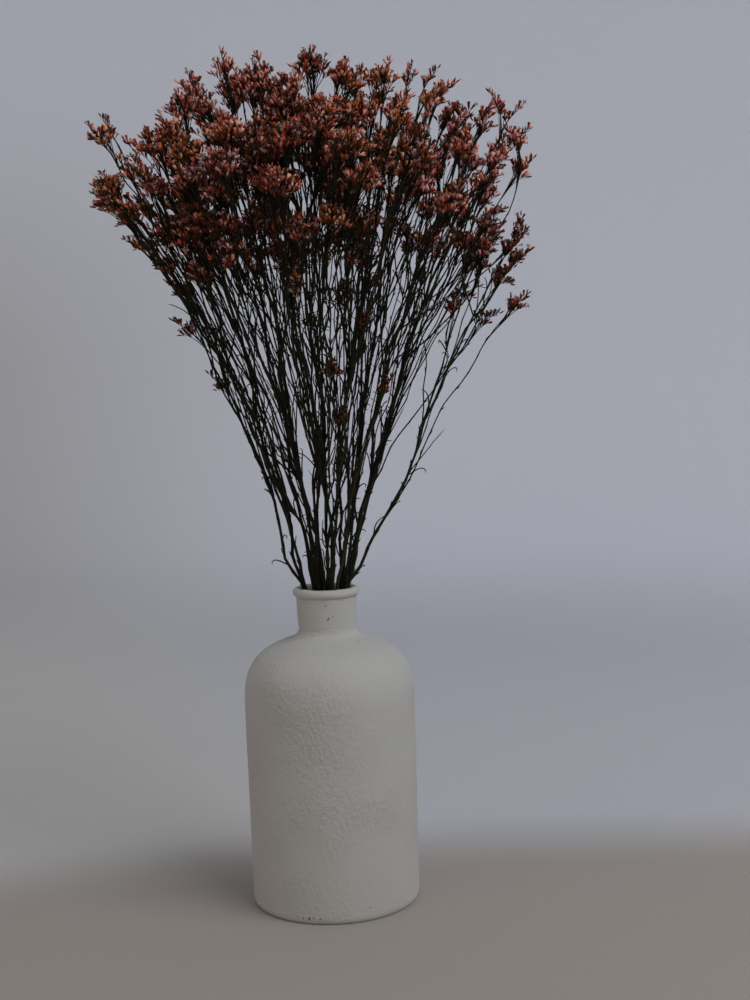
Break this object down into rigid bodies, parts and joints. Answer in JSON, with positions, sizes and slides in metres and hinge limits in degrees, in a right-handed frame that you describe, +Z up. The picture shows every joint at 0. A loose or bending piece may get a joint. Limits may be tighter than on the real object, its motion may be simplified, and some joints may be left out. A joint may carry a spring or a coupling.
{
  "type": "preserved statice in vase",
  "caption": "Fanned bunch of preserved statice, dried stems with dusty red flower spikes, standing in a matt white narrow-necked bottle vase.",
  "frame": {"origin": "the middle of the vase's flat foot, on the surface that it stands on", "axes": "+Z up along the vase's axis; +X to the right and +Y away from the viewer in the picture"},
  "size_m": [0.2695, 0.2647, 0.5218],
  "materials": {
    "vase_paint": "matte",
    "dried_stem": "matte",
    "dried_floret": "matte"
  },
  "bodies": {
    "root": {"vase": "vase_paint", "spray_01": "dried_stem", "spray_02": "dried_stem", "spray_03": "dried_stem", "spray_04": "dried_stem", "spray_05": "dried_stem", "spray_06": "dried_stem", "spray_07": "dried_stem", "spray_08": "dried_stem", "spray_09": "dried_stem", "spray_10": "dried_stem", "spray_11": "dried_stem", "spray_12": "dried_stem", "spray_13": "dried_stem", "spray_14": "dried_stem", "spray_15": "dried_stem", "spray_16": "dried_stem", "spray_17": "dried_stem", "spray_18": "dried_stem", "spray_19": "dried_stem", "spray_20": "dried_stem", "spray_21": "dried_stem", "spray_22": "dried_stem", "spray_23": "dried_stem", "spray_24": "dried_stem"}
  },
  "joints": []
}
